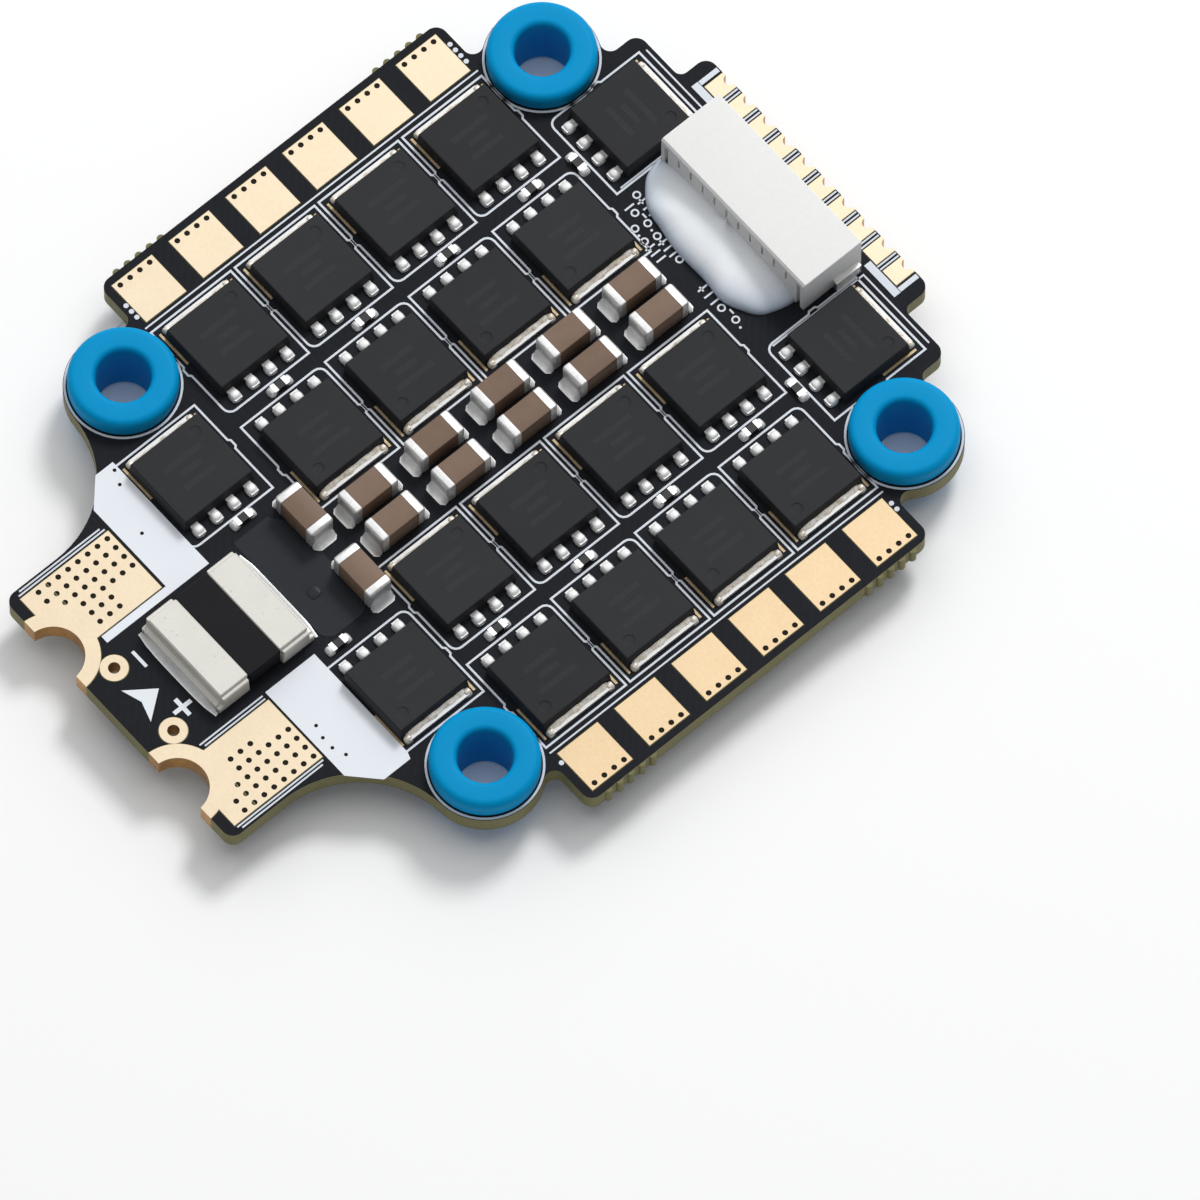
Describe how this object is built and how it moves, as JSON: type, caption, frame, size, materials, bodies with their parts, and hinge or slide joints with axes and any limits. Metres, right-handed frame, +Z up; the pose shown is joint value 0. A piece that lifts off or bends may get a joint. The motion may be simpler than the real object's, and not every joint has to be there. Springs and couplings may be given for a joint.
{
  "type": "electronic speed controller board",
  "caption": "Square four-channel brushless motor controller board with soft mounting grommets, power transistors, solder pads, a battery tab and a side-entry signal connector.",
  "frame": {"origin": "centre of the square mounting pattern, in the plane of the grommet feet", "axes": "+Z up through the board towards the power transistors, +Y from the battery tab to the signal connector, +X to the right seen from above"},
  "size_m": [0.0419, 0.051, 0.006],
  "materials": {
    "laminate": "woven glass and epoxy, olive at the routed edge, satin",
    "solder_mask": "charcoal solder mask, semi-gloss",
    "gold_plate": "immersion gold over copper, satin",
    "silicone": "blue silicone, soft sheen",
    "capacitor_ceramic": "brown ceramic, satin",
    "resistor_glaze": "black glaze",
    "shunt_coat": "black coating",
    "connector_nylon": "natural white nylon, satin",
    "sealant": "milky white sealant",
    "ferrite": "grey pressed iron powder",
    "tin": "tin plate and solder, satin",
    "contact_bronze": "tinned bronze",
    "moulding": "black epoxy moulding, matt"
  },
  "bodies": {
    "board": {"battery_minus_pad": "gold_plate", "battery_plus_pad": "gold_plate", "board_laminate": "laminate", "bulk_capacitor_bodies": "capacitor_ceramic", "bulk_capacitor_terminals": "tin", "chip_capacitor_bodies": "capacitor_ceramic", "chip_capacitor_terminals": "tin", "chip_resistor_bodies": "resistor_glaze", "chip_resistor_terminals": "tin", "connector_glue": "sealant", "current_amplifier_body": "moulding", "current_amplifier_leads": "tin", "diode_bodies": "moulding", "diode_terminals": "tin", "gate_driver_lands": "tin", "gate_resistor_bodies": "resistor_glaze", "gate_resistor_terminals": "tin", "inductor_core": "ferrite", "inductor_terminals": "tin", "logic_chip_bodies": "moulding", "logic_chip_leads": "tin", "microcontroller_lands": "tin", "motor1_gate_driver": "moulding", "motor1_microcontroller": "moulding", "motor1_pads": "gold_plate", "motor1_transistor_bodies": "moulding", "motor1_transistor_frames": "tin", "motor2_gate_driver": "moulding", "motor2_microcontroller": "moulding", "motor2_pads": "gold_plate", "motor2_transistor_bodies": "moulding", "motor2_transistor_frames": "tin", "motor3_gate_driver": "moulding", "motor3_microcontroller": "moulding", "motor3_pads": "gold_plate", "motor3_transistor_bodies": "moulding", "motor3_transistor_frames": "tin", "motor4_gate_driver": "moulding", "motor4_microcontroller": "moulding", "motor4_pads": "gold_plate", "motor4_transistor_bodies": "moulding", "motor4_transistor_frames": "tin", "regulator_body": "moulding", "regulator_leads": "tin", "shunt_element": "shunt_coat", "shunt_terminals": "tin", "signal_connector_contacts": "contact_bronze", "signal_connector_hold_downs": "tin", "signal_connector_housing": "connector_nylon", "signal_pads": "gold_plate", "solder_mask_bottom": "solder_mask", "solder_mask_top": "solder_mask", "test_points": "gold_plate"},
    "grommet_front_left": {"grommet_front_left": "silicone"},
    "grommet_front_right": {"grommet_front_right": "silicone"},
    "grommet_rear_left": {"grommet_rear_left": "silicone"},
    "grommet_rear_right": {"grommet_rear_right": "silicone"}
  },
  "joints": [
    {"name": "grommet_turn_front_left", "type": "hinge", "parent": "board", "child": "grommet_front_left", "pos_m": [-0.01525, 0.01525, 0], "axis": [0, 0, 1], "continuous": true},
    {"name": "grommet_turn_front_right", "type": "hinge", "parent": "board", "child": "grommet_front_right", "pos_m": [0.01525, 0.01525, 0], "axis": [0, 0, 1], "continuous": true},
    {"name": "grommet_turn_rear_left", "type": "hinge", "parent": "board", "child": "grommet_rear_left", "pos_m": [-0.01525, -0.01525, 0], "axis": [0, 0, 1], "continuous": true},
    {"name": "grommet_turn_rear_right", "type": "hinge", "parent": "board", "child": "grommet_rear_right", "pos_m": [0.01525, -0.01525, 0], "axis": [0, 0, 1], "continuous": true}
  ]
}
